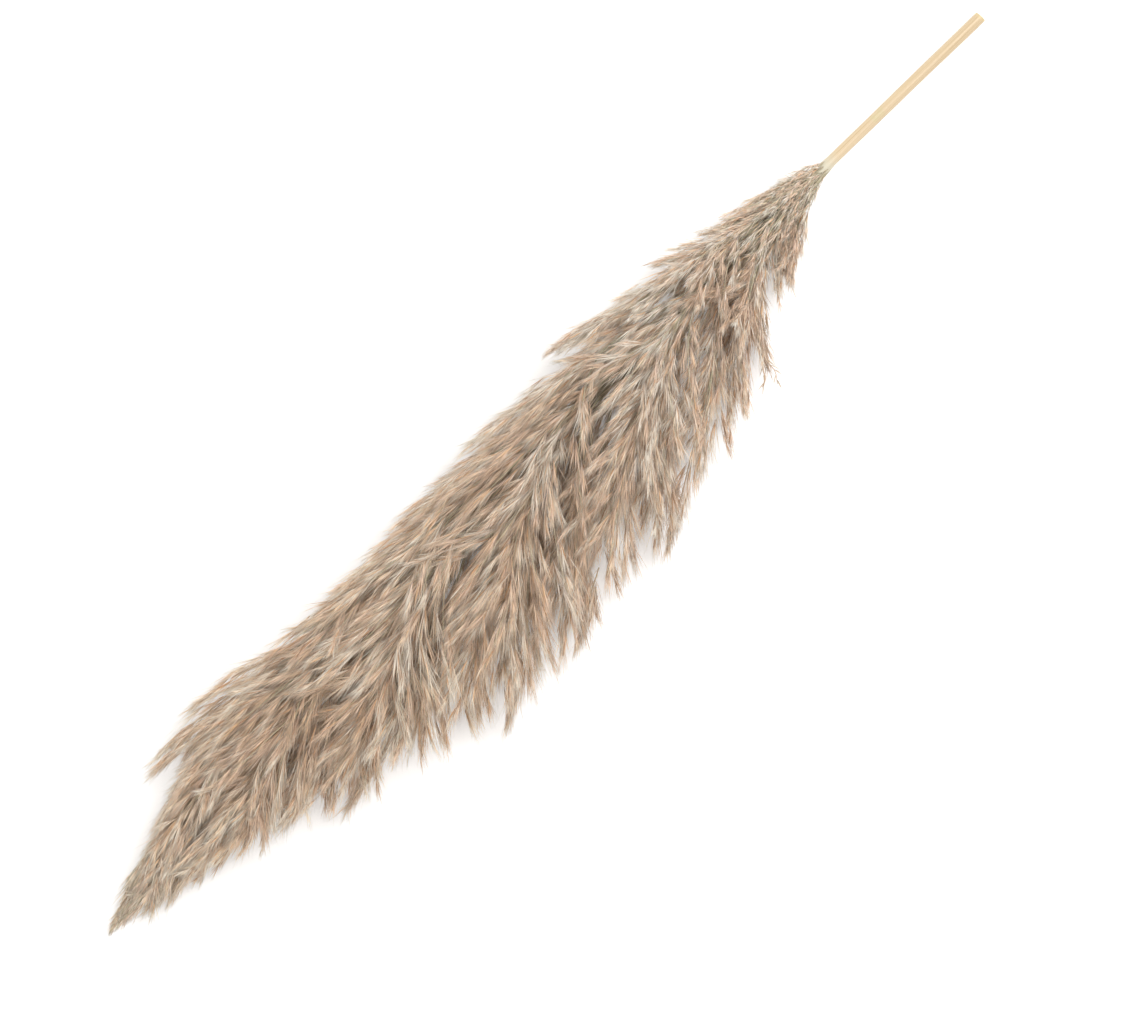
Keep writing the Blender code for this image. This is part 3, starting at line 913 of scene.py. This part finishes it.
whorl = Tuft()
for i in range(whorl_twigs):
    turn = i * golden_angle
    run = rng.uniform(*whorl_runs)
    most = rng.uniform(*whorl_spreads) * (1 - whorl_held_back * max(0.0, math.cos(turn)))
    twig_line = outward_twig(whorl_start + whorl_length * i / whorl_twigs, turn, run, most, 0.8, cane_skin)
    whorl.tube(twig_line, thinning(whorl_radius, 0.35, 9), rng.uniform(*green_twig), 5)
    dress(whorl, Lock(twig_line), whorl_spikelets, rng.uniform(*whorl_moods), 0.08, 0.8)
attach(whorl.made("base_whorl"), "root")


# The loose sprays
# A few thin sprays stand out of the plume's outline: on the short side, and on the hanging side, where
# they hang by themselves. Bare curled twiglets hang there too, whose spikelets have mostly dropped off.

sprays = [[(0.306, -0.0205, 0.024), (0.324, -0.0275, 0.023), (0.345, -0.0325, 0.019)],
          [(0.320, -0.0215, 0.018), (0.343, -0.0280, 0.017), (0.366, -0.0300, 0.014)],
          [(0.335, -0.0220, 0.021), (0.352, -0.0265, 0.020), (0.370, -0.0275, 0.016)],
          [(0.150, -0.0170, 0.026), (0.163, -0.0225, 0.026), (0.178, -0.0265, 0.023)],
          [(0.172, 0.0290, 0.021), (0.187, 0.0375, 0.019), (0.199, 0.0440, 0.015)],
          [(0.221, 0.0330, 0.021), (0.233, 0.0390, 0.019), (0.242, 0.0440, 0.015)],
          [(0.252, 0.0310, 0.020), (0.266, 0.0390, 0.018), (0.277, 0.0450, 0.014)],
          [(0.311, 0.0190, 0.019), (0.324, 0.0240, 0.017), (0.333, 0.0265, 0.014)]]
spray_spikelets = 18
curls = [[(0.1290, 0.0190, 0.021), (0.1335, 0.0260, 0.020), (0.1345, 0.0310, 0.019), (0.1370, 0.0345, 0.018)],
         [(0.1300, 0.0200, 0.018), (0.1360, 0.0270, 0.017), (0.1385, 0.0305, 0.017), (0.1410, 0.0315, 0.016)]]
spray_moods = (0.45, 0.70)
curl_radius = 0.00028
curl_husks = 5
first_husk, husk_spacing = 5, 2
curl_husk_size = 0.45
curl_husk_lean = 0.5


def smooth_line(knots, count):
    """A smooth line through the knots."""
    knots = np.array(knots)
    at = np.linspace(0, 1, len(knots))
    return np.stack([profile(np.linspace(0, 1, count), list(zip(at, knots[:, i]))) for i in range(3)], 1)


sprays_tuft = Tuft()
for spray in sprays:
    spray_line = smooth_line(spray, 13)
    sprays_tuft.tube(spray_line, thinning(twig_radius * 0.5, 0.3, 13), rng.uniform(*brown_twig), 4)
    dress(sprays_tuft, Lock(spray_line), spray_spikelets, rng.uniform(*spray_moods), 0.05, 0.75)
for curl in curls:
    curl_line = smooth_line(curl, 16)
    sprays_tuft.tube(curl_line, thinning(curl_radius, 0.4, 16), rng.uniform(*dark_hair), 5)
    husked = slice(first_husk, first_husk + husk_spacing * curl_husks, husk_spacing)
    ahead = unit(np.gradient(curl_line, axis=0)[husked])
    sprays_tuft.add(husk_form, curl_line[husked], aside(ahead, np.full(curl_husks, curl_husk_lean)),
                    np.full(curl_husks, husk_length * curl_husk_size), np.full(curl_husks, husk_width),
                    np.zeros((curl_husks, 3)), rng.uniform(*brown_twig, curl_husks), flat=husk_flatness)
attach(sprays_tuft.made("loose_sprays"), "root")
